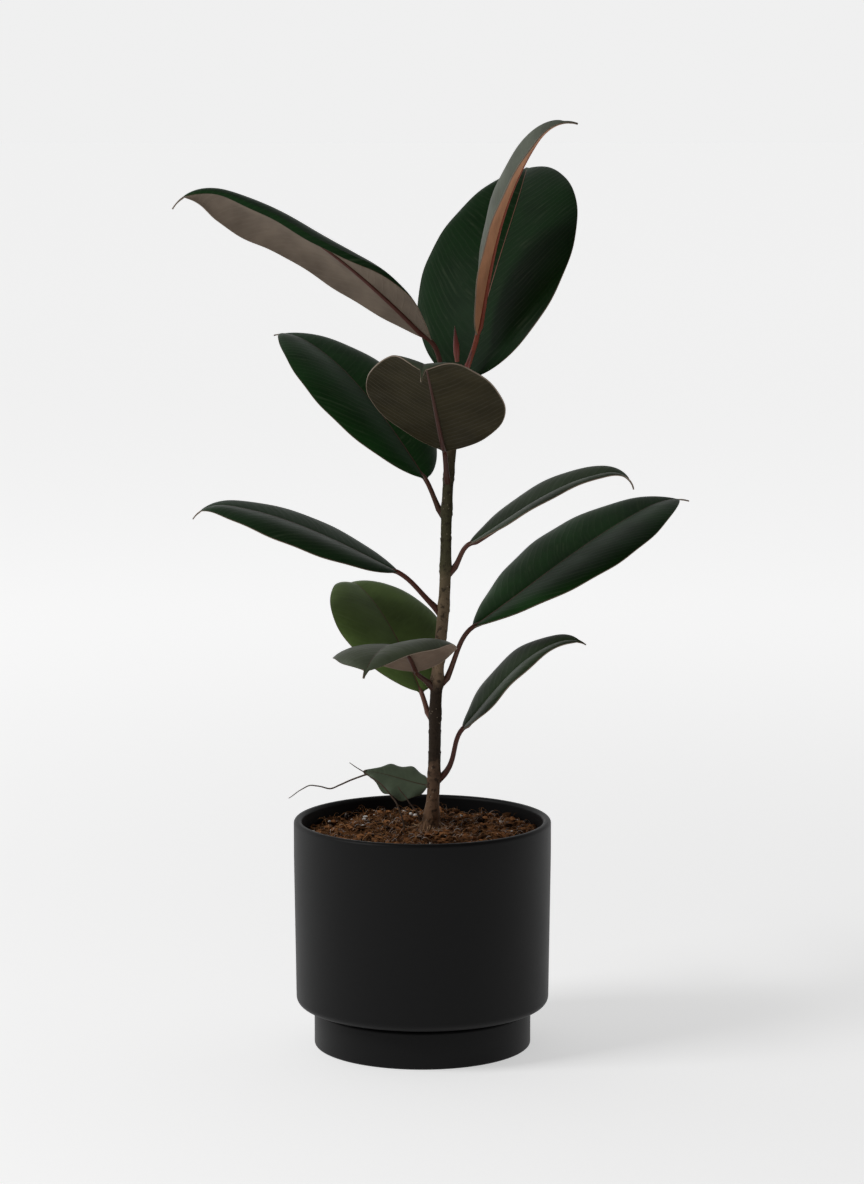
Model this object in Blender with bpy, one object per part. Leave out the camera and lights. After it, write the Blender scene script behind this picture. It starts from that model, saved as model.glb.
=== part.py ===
"""A rubber plant (Ficus elastica) in a matte black pot that stands in its saucer.

Metres, +Z up. The origin is on the pot's axis, at the underside of the saucer.
Headings are degrees round Z: 0 is +X, 90 is +Y. Rises are degrees above the horizontal.
"""

import math
from collections import namedtuple

import bmesh
import bpy
from mathutils import Matrix, Vector

MM = 0.001
GAP = 0.3 * MM  # between two pieces that touch

# Pot and saucer
POT_RADIUS = 85 * MM
POT_HEIGHT = 151.5 * MM
POT_WALL = 5.3 * MM
POT_STRAIGHT = 24 * MM  # the part below the rim that doesn't taper
POT_LOWER_RADIUS = 83.7 * MM
POT_STEP = 27.5 * MM  # height of the underside of the wide body
POT_LOWER_ROUND = 5.4 * MM
RIM_ROUND = 2.4 * MM
FOOT_RADIUS = 64.5 * MM
FOOT_RECESS = 2.2 * MM
FOOT_RING = 9 * MM  # width of the ring that the pot stands on
FOOT_RING_SLOPE = 2 * MM
FOOT_BEVEL = 1.5 * MM
FLOOR_THICKNESS = 5.5 * MM
DRAIN_RADIUS = 8 * MM
SHELF_ROUND = 5 * MM  # inside, above the step
SHELF_DROP = 1.5 * MM
INNER_FLOOR_ROUND = 4 * MM
SAUCER_RADIUS = 71.8 * MM
SAUCER_HEIGHT = 25 * MM
SAUCER_WALL = 4 * MM
SAUCER_BEVEL = 1.5 * MM
SAUCER_INNER_ROUND = 2 * MM
TURN_STEPS = 48

# Soil
SOIL_EDGE = 138 * MM
SOIL_MIDDLE = 140.5 * MM
SOIL_RIPPLE = 1.2 * MM
SOIL_RINGS = 6
SOIL_STEPS = 32
STEM_HOLE_ROOM = 0.5 * MM  # between the stem and the side of its hole
STEM_HOLE_SIDES = 24

# Stem: its centre leans to +X as it rises
STEM_FOOT = 112 * MM
STEM_TOP = 452 * MM
STEM_LOW_RINGS = (-2, 5, 12, 19, 28)  # mm above the soil, where the collar flares
STEM_STEP = 12 * MM
STEM_BASE_X = 4.5 * MM
STEM_LEAN = 0.056
STEM_WAVE = 0.9 * MM
STEM_WAVE_LENGTH = 130 * MM
STEM_RADIUS = 4.2 * MM
STEM_TOP_RADIUS = 3.1 * MM
COLLAR_RADIUS = 8.5 * MM
COLLAR_HEIGHT = 26 * MM
NODE_SWELL = 0.5 * MM
NODE_SPREAD = 4 * MM

# Leaves
PETIOLE_RADIUS = 1.6 * MM
BLADE_THICKNESS = 1.3 * MM
BASE_THICKER = 0.8  # share added to the thickness at the blade's base
BASE_THICKER_SHARE = 0.25  # of the blade's length, where that has died away
MIDRIB_DEPTH = 1.1 * MM
DRIP_TIP_SHARE = 0.05
DRIP_TIP_WIDTH = 4.4 * MM
DRIP_TIP_END = 0.5 * MM
OVAL_FULLNESS = 0.68
DROOP_START = 0.8
PETIOLE_SPANS = 4
BLADE_SPANS = 13
SECTION_SIDES = 12

Leaf = namedtuple("Leaf", "node petiole blade heading rise roll fold curl droop")
# node: height on the stem. petiole: length, heading, rise. blade: length, width and a shift of
# the widest place: towards the base where it is under 1.
# heading and rise: at the blade's base, middle and tip. roll: at base and tip.
# fold: how far the two halves rise from the midrib. curl: how far they turn down again.
# droop: how far the drip tip hooks down. Lengths are in millimetres.
LEAVES = {
    "leaf_01": Leaf(438, (32, 195, 68), (204, 88, 1.12), (193, 192, 190), (45, 34, 8), (-8, -10), 5, 20, 70),
    "leaf_02": Leaf(446, (26, 10, 72), (162, 54, 0.95), (6, 0, -6), (80, 72, 42), (12, -20), 22, 5, 60),
    "leaf_03": Leaf(428, (18, 68, 45), (197, 122, 0.74), (54, 66, 88), (66, 50, 16), (12, 12), 10, 8, 20),
    "leaf_04": Leaf(357, (22, 150, 62), (184, 88, 0.95), (129, 131, 133), (42, 33, 6), (0, 0), 12, 14, 20),
    "leaf_05": Leaf(380, (18, -105, 70), (158, 90, 0.95), (-96, -96, -97), (27, 30, 26), (7, 7), 10, 4, 100),
    "leaf_06": Leaf(293, (33, 176, 43), (147, 88, 0.95), (174, 174, 173), (27, 20, -2), (4, 4), 8, 14, 55),
    "leaf_07": Leaf(319, (18, 0, 58), (124, 66, 0.95), (2, 0, 0), (30, 28, -6), (-4, -4), 16, 10, 75),
    "leaf_08": Leaf(245, (38, 15, 62), (188, 100, 1.15), (30, 30, 30), (28, 28, 14), (-3, -3), 10, 10, 30),
    "leaf_09": Leaf(222, (14, 140, 66), (130, 78, 0.95), (118, 119, 120), (45, 33, 6), (0, 0), 12, 12, 50),
    "leaf_10": Leaf(243, (12, -150, 41), (126, 82, 0.95), (-106, -106, -107), (45, 7, -21), (-7, -9), 8, 14, 24),
    "leaf_11": Leaf(181, (33, 2, 68), (105, 60, 0.95), (2, 0, -2), (48, 43, -2), (-9, -5), 14, 10, 30),
    "leaf_12": Leaf(157, (15, 105, 77), (44, 33, 0.78), (168, 170, 172), (8, 14, 2), (38, 30), 6, 20, 30),
}

# Young sheaths at the growing tip: foot height, length, radius, heading, rise
SHEATHS = {
    "bud_sheath": (455, 22, 2.0, 130, 84),
    "leaf_sheath": (445, 18, 1.5, -30, 70),
}

# Wiry rootlets beside the stem, each a branch or two of points in millimetres
ROOTLET_RADIUS = 0.5 * MM
ROOTLET_SIDES = 6
ROOTLETS = {
    "rootlet_1": (
        ((-11, -8, 142), (-13, -8, 152), (-17, -7, 163), (-27, -5, 175), (-38, -4, 183), (-48, -4, 190)),
        ((-36, -4, 182), (-46, -5, 179), (-60, -6, 173), (-74, -7, 175), (-88, -8, 167)),
    ),
    "rootlet_2": (((-1.5, -3.2, 150), (-4, -5, 157), (-9, -6, 164), (-16, -6, 174)),),
}


def clear_scene():
    for old in list(bpy.data.objects):
        bpy.data.objects.remove(old, do_unlink=True)


def finish_material(name, colour, roughness):
    found = bpy.data.materials.new(name)
    found.use_nodes = True
    shader = found.node_tree.nodes["Principled BSDF"]
    shader.inputs["Base Color"].default_value = (*colour, 1.0)
    shader.inputs["Roughness"].default_value = roughness
    shader.inputs["Metallic"].default_value = 0.0
    return found


def add_object(name, bm, finish):
    """Closes the book on one piece: its mesh, its material and its smooth shading."""
    bmesh.ops.recalc_face_normals(bm, faces=bm.faces)
    mesh = bpy.data.meshes.new(name)
    bm.to_mesh(mesh)
    bm.free()
    mesh.materials.append(finish)
    mesh.shade_smooth()
    mesh.set_sharp_from_angle(angle=math.radians(40))
    piece = bpy.data.objects.new(name, mesh)
    bpy.context.scene.collection.objects.link(piece)
    return piece


def direction(heading, rise):
    """The unit vector at a heading and a rise in degrees."""
    h, r = math.radians(heading), math.radians(rise)
    return Vector((math.cos(r) * math.cos(h), math.cos(r) * math.sin(h), math.sin(r)))


def arc(centre, radius, start, end, steps=5):
    """Points (radius, height) of an arc in the turning plane, from one angle to another in degrees."""
    angles = [math.radians(start + (end - start) * i / steps) for i in range(steps + 1)]
    return [(centre[0] + radius * math.cos(a), centre[1] + radius * math.sin(a)) for a in angles]


def turn(name, profile, finish, closed, steps=TURN_STEPS):
    """Turns an outline of (radius, height) about Z. An outline that isn't closed starts and ends on the axis."""
    bm = bmesh.new()
    verts = [bm.verts.new((radius, 0, height)) for radius, height in profile]
    ends = verts[1:] + verts[:1] if closed else verts[1:]
    edges = [bm.edges.new(pair) for pair in zip(verts, ends)]
    bmesh.ops.spin(
        bm,
        geom=verts + edges,
        cent=(0, 0, 0),
        axis=(0, 0, 1),
        angle=math.tau,
        steps=steps,
        use_merge=True,
    )
    bmesh.ops.remove_doubles(bm, verts=bm.verts, dist=1e-6)
    return add_object(name, bm, finish)


def make_saucer(finish):
    """A straight-sided dish, flat underneath."""
    inner = SAUCER_RADIUS - SAUCER_WALL
    lip = SAUCER_WALL / 2
    profile = [(0, 0), (SAUCER_RADIUS - SAUCER_BEVEL, 0), (SAUCER_RADIUS, SAUCER_BEVEL)]
    profile += arc((SAUCER_RADIUS - lip, SAUCER_HEIGHT - lip), lip, 0, 180, 6)
    inner_round = SAUCER_INNER_ROUND
    profile += arc((inner - inner_round, SAUCER_WALL + inner_round), inner_round, 0, -90, 3)
    profile.append((0, SAUCER_WALL))
    return turn("saucer", profile, finish, closed=False)


def pot_inside():
    """The pot's inner outline from the rim down to the drain hole."""
    wall = POT_WALL
    foot_inner = FOOT_RADIUS - wall
    floor = SAUCER_WALL + GAP + FOOT_RECESS + FLOOR_THICKNESS
    shelf = POT_STEP + wall
    low_inner = POT_LOWER_RADIUS - wall
    outline = [(POT_RADIUS - wall, POT_HEIGHT - POT_STRAIGHT)]
    outline += arc((low_inner - SHELF_ROUND, shelf + SHELF_ROUND), SHELF_ROUND, 0, -90, 4)
    outline.append((foot_inner, shelf - SHELF_DROP))
    low_round = INNER_FLOOR_ROUND
    outline += arc((foot_inner - low_round, floor + low_round), low_round, 0, -90, 3)
    return outline, floor


def make_pot(finish):
    """A slip-cast cylinder with an even wall, a step in to the foot and a drain hole."""
    inside, floor = pot_inside()
    stand = SAUCER_WALL + GAP
    lower = POT_LOWER_ROUND
    profile = [(DRAIN_RADIUS, floor), (DRAIN_RADIUS, stand + FOOT_RECESS)]
    ring = FOOT_RADIUS - FOOT_RING
    profile += [(ring - FOOT_RING_SLOPE, stand + FOOT_RECESS), (ring, stand)]
    profile += [(FOOT_RADIUS - FOOT_BEVEL, stand), (FOOT_RADIUS, stand + FOOT_BEVEL)]
    profile.append((FOOT_RADIUS, POT_STEP))
    profile += arc((POT_LOWER_RADIUS - lower, POT_STEP + lower), lower, -90, 0, 6)
    profile.append((POT_RADIUS, POT_HEIGHT - POT_STRAIGHT))
    profile += arc((POT_RADIUS - RIM_ROUND, POT_HEIGHT - RIM_ROUND), RIM_ROUND, 0, 90, 4)
    rim_inner = POT_RADIUS - POT_WALL + RIM_ROUND
    profile += arc((rim_inner, POT_HEIGHT - RIM_ROUND), RIM_ROUND, 90, 180, 4)
    profile += inside
    return turn("pot", profile, finish, closed=True)


def stem_centre(z):
    """The stem's centre at a height: a slight lean with a slow wave."""
    up = z - SOIL_EDGE
    sway = STEM_WAVE * math.sin(math.tau * up / STEM_WAVE_LENGTH)
    return Vector((STEM_BASE_X + STEM_LEAN * up + sway, 0, z))


def stem_radius(z):
    """Thinner towards the top, with a flared collar at the soil and a swelling at each leaf."""
    t = max(0, (z - SOIL_EDGE) / (STEM_TOP - SOIL_EDGE))
    radius = STEM_RADIUS + (STEM_TOP_RADIUS - STEM_RADIUS) * t**1.3
    flare = max(0, 1 - max(0, z - SOIL_EDGE) / COLLAR_HEIGHT)
    radius += (COLLAR_RADIUS - STEM_RADIUS) * flare**1.5
    for leaf in LEAVES.values():
        radius += NODE_SWELL * math.exp(-(((z - leaf.node * MM) / NODE_SPREAD) ** 2))
    return radius


def make_soil(finish):
    """Fills the pot up to a low mound, with a blind hole for the stem's foot."""
    inside, floor = pot_inside()
    top = POT_RADIUS - POT_WALL - GAP
    profile = [(0, floor + GAP)]
    profile += [(radius - GAP, height + GAP) for radius, height in reversed(inside)]
    profile.append((top, SOIL_EDGE))
    for i in range(1, SOIL_RINGS):
        t = i / SOIL_RINGS
        height = SOIL_EDGE + (SOIL_MIDDLE - SOIL_EDGE) * t - SOIL_RIPPLE * math.sin(math.tau * t)
        profile.append((top * (1 - t), height))
    profile.append((0, SOIL_MIDDLE))
    soil = turn("soil", profile, finish, closed=False, steps=SOIL_STEPS)

    bm = bmesh.new()
    radius = stem_radius(SOIL_EDGE) + STEM_HOLE_ROOM
    bottom = STEM_FOOT - GAP
    height = POT_HEIGHT - bottom
    centre = stem_centre(SOIL_EDGE)
    place = Matrix.Translation((centre.x, centre.y, bottom + height / 2))
    bmesh.ops.create_cone(
        bm,
        cap_ends=True,
        segments=STEM_HOLE_SIDES,
        radius1=radius,
        radius2=radius,
        depth=height,
        matrix=place,
    )
    cutter = add_object("stem_hole_cutter", bm, finish)
    cutter.hide_render = True
    cutter.display_type = "WIRE"
    cut = soil.modifiers.new("stem_hole", "BOOLEAN")
    cut.object = cutter
    cut.operation = "DIFFERENCE"
    return soil


def tube(name, stations, sides, finish):
    """A closed tube: a grid whose rows are the stations (centre, side, up, section), wrapped round.

    section gives the place (across, above) of a point of the outline from its angle.
    """
    bm = bmesh.new()
    last = len(stations) - 1
    bmesh.ops.create_grid(bm, x_segments=last, y_segments=sides, size=1)
    for vert in bm.verts:
        centre, side, up, section = stations[round((vert.co.x + 1) / 2 * last)]
        across, above = section(math.pi * vert.co.y)
        vert.co = centre + side * across + up * above
    bmesh.ops.remove_doubles(bm, verts=bm.verts, dist=1e-6)
    ends = [edge for edge in bm.edges if edge.is_boundary]
    bmesh.ops.holes_fill(bm, edges=ends, sides=0)
    return add_object(name, bm, finish)


def circle(radius):
    return lambda angle: (radius * math.cos(angle), radius * math.sin(angle))


def along(points, t):
    """A point at t, from 0 to 1, on the smooth curve through the points."""
    spans = len(points) - 1
    i = min(int(t * spans), spans - 1)
    t = t * spans - i
    a, b = points[i], points[i + 1]
    before = points[i - 1] if i else a * 2 - b
    after = points[i + 2] if i + 2 <= spans else b * 2 - a
    return (
        a * 2
        + (b - before) * t
        + (before * 2 - a * 5 + b * 4 - after) * t**2
        + (after - before + (a - b) * 3) * t**3
    ) / 2


def three_stage(values, t):
    """The smooth value at t that takes the three values at the base, middle and tip."""
    base, middle, tip = values
    return base * (1 - t) * (1 - 2 * t) + middle * 4 * t * (1 - t) + tip * t * (2 * t - 1)


def make_stem(finish):
    """One tapering stem from its foot in the soil to the growing tip."""
    heights = [STEM_FOOT] + [SOIL_EDGE + up * MM for up in STEM_LOW_RINGS]
    while heights[-1] + 1.5 * STEM_STEP < STEM_TOP:
        heights.append(heights[-1] + STEM_STEP)
    heights.append(STEM_TOP)
    straight_down = stem_centre(SOIL_EDGE)
    stations = []
    for z in heights:
        centre = stem_centre(z) if z > SOIL_EDGE else Vector((straight_down.x, 0, z))
        stations.append((centre, Vector((1, 0, 0)), Vector((0, 1, 0)), circle(stem_radius(z))))
    return tube("stem", stations, SECTION_SIDES, finish)


def half_width(leaf, t):
    """Half the blade's width at t along it: an ellipse with a blunt base, then the drip tip."""
    body = 1 - DRIP_TIP_SHARE
    oval = math.sin(math.pi * min(1, t / body) ** leaf.blade[2]) ** OVAL_FULLNESS if t < body else 0
    taper = DRIP_TIP_WIDTH / 2 * (1 - t) / DRIP_TIP_SHARE + DRIP_TIP_END
    return max(oval * leaf.blade[1] * MM / 2, min(DRIP_TIP_WIDTH / 2, taper))


def blade_section(half, fold, curl, thickness, midrib):
    """The blade's outline across: halves that rise by fold and turn down again by curl."""

    def section(angle):
        u = math.cos(angle)
        lean = math.radians(fold - curl * u * u)
        across = half * u * math.cos(lean)
        above = half * abs(u) * math.sin(lean)
        rim = math.sin(angle)
        above += thickness / 2 * math.copysign(abs(rim) ** 0.5, rim)
        if rim < -0.99:
            above -= midrib
        return across, above

    return section


def blade_run(leaf, t):
    """The blade's heading and rise at t along it."""
    hook = max(0, (t - DROOP_START) / (1 - DROOP_START))
    return three_stage(leaf.heading, t), three_stage(leaf.rise, t) - leaf.droop * hook**1.5


def make_leaf(name, leaf, finish):
    """One leaf: the petiole runs out from the stem and on as the midrib of the blade."""
    petiole, heading, rise = leaf.petiole
    node = stem_centre(leaf.node * MM)
    offset = stem_radius(leaf.node * MM) + PETIOLE_RADIUS + GAP
    start = node + direction(heading, 0) * offset
    base = start + direction(heading, rise) * petiole * MM
    forward = direction(leaf.heading[0], leaf.rise[0])
    handle = petiole * MM / 3
    bend = [start, start + direction(heading, rise) * handle, base - forward * handle, base]

    stations = []
    for i in range(PETIOLE_SPANS):
        t = i / PETIOLE_SPANS
        a, b, c, d = bend
        centre = a * (1 - t) ** 3 + b * 3 * t * (1 - t) ** 2 + c * 3 * t * t * (1 - t) + d * t**3
        run = (b - a) * (1 - t) ** 2 + (c - b) * 2 * t * (1 - t) + (d - c) * t * t
        run.normalize()
        side = direction(leaf.heading[0] - 90, 0)
        side = (side - run * side.dot(run)).normalized()
        stations.append((centre, side, side.cross(run), circle(PETIOLE_RADIUS)))

    centre = base
    for i in range(BLADE_SPANS + 1):
        t = i / BLADE_SPANS
        heading, rise = blade_run(leaf, t)
        roll = math.radians(leaf.roll[0] * (1 - t) + leaf.roll[1] * t)
        level = direction(heading - 90, 0)
        above = level.cross(direction(heading, rise))
        side = level * math.cos(roll) + above * math.sin(roll)
        up = above * math.cos(roll) - level * math.sin(roll)
        if i == 0:
            section = circle(PETIOLE_RADIUS)
        else:
            thickness = BLADE_THICKNESS * (1 + BASE_THICKER * max(0, 1 - t / BASE_THICKER_SHARE))
            rib = MIDRIB_DEPTH * (1 - t)
            section = blade_section(half_width(leaf, t), leaf.fold, leaf.curl, thickness, rib)
        stations.append((centre, side, up, section))
        step = direction(*blade_run(leaf, t + 0.5 / BLADE_SPANS)) * leaf.blade[0] * MM
        centre = centre + step / BLADE_SPANS
    return tube(name, stations, SECTION_SIDES, finish)


def make_sheath(name, foot, length, radius, heading, rise, finish):
    """A pointed, rolled sheath that stands at the growing tip."""
    start = stem_centre(foot * MM)
    if foot * MM < STEM_TOP:
        start += direction(heading, 0) * (stem_radius(foot * MM) + radius * MM + GAP)
    run = direction(heading, rise)
    side = direction(heading - 90, 0)
    shape = (0.7, 1.0, 0.95, 0.7, 0.4, 0.08)
    stations = [
        (start + run * length * MM * i / 5, side, side.cross(run), circle(radius * MM * share))
        for i, share in enumerate(shape)
    ]
    return tube(name, stations, 8, finish)


def rootlet_tube(name, points, finish):
    """A round tube on a smooth curve through the points."""
    route = [Vector(point) * MM for point in points]
    spans = 3 * (len(points) - 1)
    stations = []
    for i in range(spans + 1):
        centre = along(route, i / spans)
        run = along(route, min(1, (i + 0.5) / spans)) - along(route, max(0, (i - 0.5) / spans))
        side = run.cross(Vector((0, 1, 0))).normalized()
        stations.append((centre, side, side.cross(run).normalized(), circle(ROOTLET_RADIUS)))
    return tube(name, stations, ROOTLET_SIDES, finish)


def make_rootlet(name, branches, finish):
    """A wiry root, with its side branch grown on."""
    root = rootlet_tube(name, branches[0], finish)
    for i, points in enumerate(branches[1:]):
        branch = rootlet_tube(f"{name}_branch_{i}", points, finish)
        branch.hide_render = True
        branch.display_type = "WIRE"
        grown = root.modifiers.new("branch", "BOOLEAN")
        grown.object = branch
        grown.operation = "UNION"
    return root


def main():
    clear_scene()
    ceramic = finish_material("matte_black_ceramic", (0.012, 0.012, 0.013), 0.55)
    earth = finish_material("potting_soil", (0.09, 0.055, 0.032), 0.95)
    bark = finish_material("stem_bark", (0.23, 0.15, 0.085), 0.8)
    leaf_skin = finish_material("leaf", (0.035, 0.045, 0.03), 0.38)
    sheath_skin = finish_material("young_sheath", (0.4, 0.09, 0.06), 0.5)
    root_bark = finish_material("rootlet_bark", (0.2, 0.12, 0.07), 0.8)
    make_saucer(ceramic)
    make_pot(ceramic)
    make_soil(earth)
    make_stem(bark)
    for name, leaf in LEAVES.items():
        make_leaf(name, leaf, leaf_skin)
    for name, sizes in SHEATHS.items():
        make_sheath(name, *sizes, sheath_skin)
    for name, points in ROOTLETS.items():
        make_rootlet(name, points, root_bark)


main()
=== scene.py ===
# %% [markdown]
# # A rubber plant in a matte black pot
# The frame holds a plain solid for every piece. This lesson makes the fine piece that stands for
# each of them, in the same place, and its finish. Lengths are in metres unless a name says
# otherwise, +Z is up, and the pot's axis is the Z axis.

# %% Load the frame
import math
import random
from collections import namedtuple

import bmesh
import bpy
from mathutils import Matrix, Vector, noise


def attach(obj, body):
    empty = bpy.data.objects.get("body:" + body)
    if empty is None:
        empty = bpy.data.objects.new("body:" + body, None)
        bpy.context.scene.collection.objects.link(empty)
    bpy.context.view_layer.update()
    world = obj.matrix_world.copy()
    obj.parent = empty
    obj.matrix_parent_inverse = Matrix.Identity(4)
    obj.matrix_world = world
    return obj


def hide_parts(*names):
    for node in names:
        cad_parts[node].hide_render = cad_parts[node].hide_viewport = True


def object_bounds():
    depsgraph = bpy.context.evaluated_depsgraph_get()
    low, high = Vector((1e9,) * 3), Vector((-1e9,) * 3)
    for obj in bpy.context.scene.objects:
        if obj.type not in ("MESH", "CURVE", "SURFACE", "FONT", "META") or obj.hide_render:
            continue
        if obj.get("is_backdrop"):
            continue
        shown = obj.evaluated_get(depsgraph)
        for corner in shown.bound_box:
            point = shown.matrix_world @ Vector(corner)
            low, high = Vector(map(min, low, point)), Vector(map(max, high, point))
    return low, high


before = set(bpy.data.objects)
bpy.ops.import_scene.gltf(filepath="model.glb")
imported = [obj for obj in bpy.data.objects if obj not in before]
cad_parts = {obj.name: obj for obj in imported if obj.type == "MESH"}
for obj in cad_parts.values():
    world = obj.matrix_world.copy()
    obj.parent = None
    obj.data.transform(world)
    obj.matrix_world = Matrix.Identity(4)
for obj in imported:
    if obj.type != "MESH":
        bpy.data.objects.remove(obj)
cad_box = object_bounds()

MM = 0.001
print("frame box:", [[round(v, 4) for v in corner] for corner in cad_box])

# %% [markdown]
# ## Camera
# A catalogue picture keeps the pot's sides nearly parallel. A short lens close by would swell the
# front leaves, so a long lens stands two and a half metres away and looks slightly down.

# %% Camera
CAMERA_DISTANCE = 2.422
CAMERA_HEIGHT = 0.643
CAMERA_PITCH = 8.0
CAMERA_YAW = -0.15
LENS = 113.5
SENSOR_HEIGHT = 36


def add_object(name, data):
    made = bpy.data.objects.new(name, data)
    bpy.context.scene.collection.objects.link(made)
    return made


camera_data = bpy.data.cameras.new("camera")
camera_data.sensor_fit = "VERTICAL"
camera_data.sensor_height = SENSOR_HEIGHT
camera_data.lens = LENS
camera = add_object("camera", camera_data)
camera.location = (0, -CAMERA_DISTANCE, CAMERA_HEIGHT)
camera.rotation_euler = (math.radians(90 - CAMERA_PITCH), 0, math.radians(CAMERA_YAW))
bpy.context.scene.camera = camera
bpy.context.scene.view_settings.view_transform = "Standard"
print("camera at", tuple(camera.location))

# %% [markdown]
# ## Shader maths as Python
# A pattern is easier to read as an expression than as a drawing of nodes. Wire wraps a node's
# output, and each operator on it adds a Math node. Tree makes the other nodes, and Finish is the
# tree of a material with one Principled shader.


# %% Wires
class Wire:
    """A node's output that takes part in expressions."""

    def __init__(self, tree, socket):
        self.tree, self.socket = tree, socket

    def maths(self, operation, *others):
        values = {i: value for i, value in enumerate((self, *others))}
        return self.tree.node("Math", {"operation": operation}, values)

    def __rsub__(self, other):
        return (self * -1.0).maths("ADD", other)

    def between(self, low, high, first=0.0, last=1.0):
        """first below low, last above high, and smooth from one to the other."""
        sockets = {"Value": self, "From Min": low, "From Max": high}
        sockets.update({"To Min": first, "To Max": last})
        return self.tree.node("MapRange", {"interpolation_type": "SMOOTHSTEP"}, sockets)


OPERATORS = {"add": "ADD", "radd": "ADD", "sub": "SUBTRACT", "mul": "MULTIPLY", "rmul": "MULTIPLY"}
OPERATORS.update({"truediv": "DIVIDE", "abs": "ABSOLUTE"})
for name, operation in OPERATORS.items():
    operate = lambda wire, *others, operation=operation: wire.maths(operation, *others)
    setattr(Wire, f"__{name}__", operate)
print("operators on wires:", *OPERATORS)


# %% Trees and finishes
class Tree:
    """A node tree whose nodes are made as wires."""

    def __init__(self, tree):
        self.tree = tree

    def node(self, kind, settings=None, sockets=None, output=0):
        """Adds a node of this kind, sets it up and gives its output as a Wire."""
        made = self.tree.nodes.new("ShaderNode" + kind)
        for name, value in (settings or {}).items():
            if name == "stops":
                self.set_stops(made.color_ramp, value)
            else:
                setattr(made, name, value)
        for name, value in (sockets or {}).items():
            self.feed(made.inputs[name], value)
        return Wire(self, made.outputs[output])

    def set_stops(self, ramp, stops):
        for i, (place, colour) in enumerate(stops):
            stop = ramp.elements[i] if i < 2 else ramp.elements.new(place)
            stop.position = place
            stop.color = (*colour, 1)

    def feed(self, socket, value):
        if isinstance(value, Wire):
            self.tree.links.new(value.socket, socket)
        else:
            socket.default_value = value

    def mix(self, amount, first, second):
        """A colour between two: the first where amount is 0."""
        colours = [c if isinstance(c, Wire) else (*c, 1) for c in (first, second)]
        settings = {"data_type": "RGBA"}
        return self.node("Mix", settings, {0: amount, 6: colours[0], 7: colours[1]}, 2)

    def noise(self, place, scale, detail=2.0, roughness=0.5):
        sockets = {"Vector": place, "Scale": scale, "Detail": detail, "Roughness": roughness}
        return self.node("TexNoise", {}, sockets)

    def object_place(self):
        return self.node("TexCoord", output="Object")

    def map_place(self, name):
        return self.node("UVMap", {"uv_map": name})

    def split(self, place):
        return [self.node("SeparateXYZ", {}, {0: place}, i) for i in range(3)]

    def join(self, x, y, z=0.0):
        return self.node("CombineXYZ", {}, {0: x, 1: y, 2: z})

    def ramp(self, stops, share):
        return self.node("ValToRGB", {"stops": stops}, {"Fac": share})

    def stored(self, name):
        """The colour stored on the piece's points under this name."""
        return self.node("Attribute", {"attribute_name": name}, output="Color")

    def bump(self, height, distance, strength=1.0):
        sockets = {"Height": height, "Distance": distance, "Strength": strength}
        return self.node("Bump", {}, sockets)


class Finish(Tree):
    """A material with one Principled shader. constants set the shader's sockets."""

    def __init__(self, name, **constants):
        self.material = bpy.data.materials.new(name)
        self.material.use_nodes = True
        super().__init__(self.material.node_tree)
        self.shader = self.tree.nodes["Principled BSDF"]
        self.wear(**constants)

    def wear(self, **sockets):
        """Feeds the shader and gives the material."""
        for name, value in sockets.items():
            self.feed(self.shader.inputs[name.replace("_", " ")], value)
        return self.material


print("finishes are ready to make")

# %% [markdown]
# ## Floor
# The plant stands on a white sweep. If it only scattered light it would show the lamp's falloff,
# so part of its brightness is its own, and only the rest takes shadows.

# %% Floor
FLOOR_RADIUS = 30.0
FLOOR_SIDES = 96
FLOOR_SCATTER = 0.72
NEAR_LIGHT, FAR_LIGHT, HORIZON_LIGHT = 0.525, 0.69, 0.02  # the last is added to the far light
FAR_BETWEEN, HORIZON_BETWEEN = (0.2, 2.2), (2.0, 9.0)  # metres from the pot

bm = bmesh.new()
bmesh.ops.create_circle(bm, cap_ends=True, segments=FLOOR_SIDES, radius=FLOOR_RADIUS)
floor_mesh = bpy.data.meshes.new("floor")
bm.to_mesh(floor_mesh)
bm.free()
floor = add_object("floor", floor_mesh)
floor_finish = Finish(
    "white_sweep",
    Base_Color=(*[FLOOR_SCATTER] * 3, 1),
    Roughness=0.9,
    Specular_IOR_Level=0.0,
    Emission_Strength=1.0,
)
x, y, _ = floor_finish.split(floor_finish.object_place())
from_pot = (x * x + y * y).maths("SQRT")
away, horizon = from_pot.between(*FAR_BETWEEN), from_pot.between(*HORIZON_BETWEEN)
own_light = away * (FAR_LIGHT - NEAR_LIGHT) + NEAR_LIGHT + horizon * HORIZON_LIGHT
floor_mesh.materials.append(floor_finish.wear(Emission_Color=own_light))
floor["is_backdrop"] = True
print("floor laid,", FLOOR_RADIUS, "m in radius")

# %% [markdown]
# ## Sky and lamp
# A black pot shows its shape only by what it mirrors. The camera sees a plain pale sky. For the
# plant it is bright behind and at the left, which draws pale edges down the pot; panels would
# leave hard edges in the glaze. One big soft lamp casts the long faint shadow.

# %% Sky and lamp
SKY_SEEN = 0.870
# A range of one part of the direction, and the sky's strength at its two ends
BEHIND = (-0.55, 0.75, 0.15, 0.95)
LEFT = (0.9, -0.9, 0.75, 1.25)
OVERHEAD = (0.05, 0.8, 1.0, 0.30)
LAMP_PLACE, LAMP_TARGET = (-2.2, -0.95, 2.25), (0, 0, 0.3)
LAMP_SIDE, LAMP_POWER = 1.2, 40

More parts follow.
